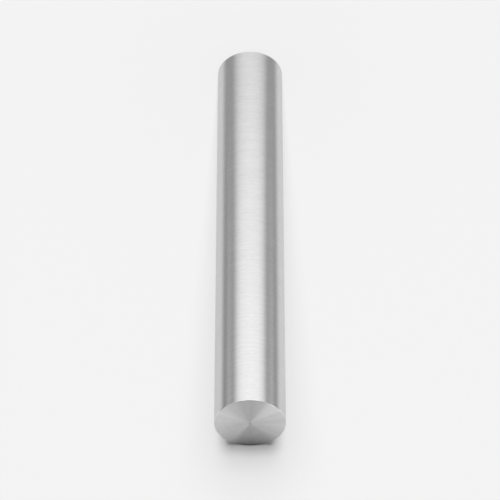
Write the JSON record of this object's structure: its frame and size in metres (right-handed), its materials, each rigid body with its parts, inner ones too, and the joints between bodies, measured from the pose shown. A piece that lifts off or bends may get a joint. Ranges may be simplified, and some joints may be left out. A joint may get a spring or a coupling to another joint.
{
  "type": "steel rod",
  "caption": "Plain round steel bar, ground outside, with both ends faced square and their sharp corners broken.",
  "frame": {"origin": "centre of the foot face, which the bar stands on", "axes": "+Z along the bar's axis, from the foot face to the top face; X and Y are alike"},
  "size_m": [0.01, 0.01, 0.07],
  "materials": {
    "steel": "satin, with fine turning marks round the outside and faced rings on both ends"
  },
  "bodies": {
    "root": {"rod": "steel"}
  },
  "joints": []
}
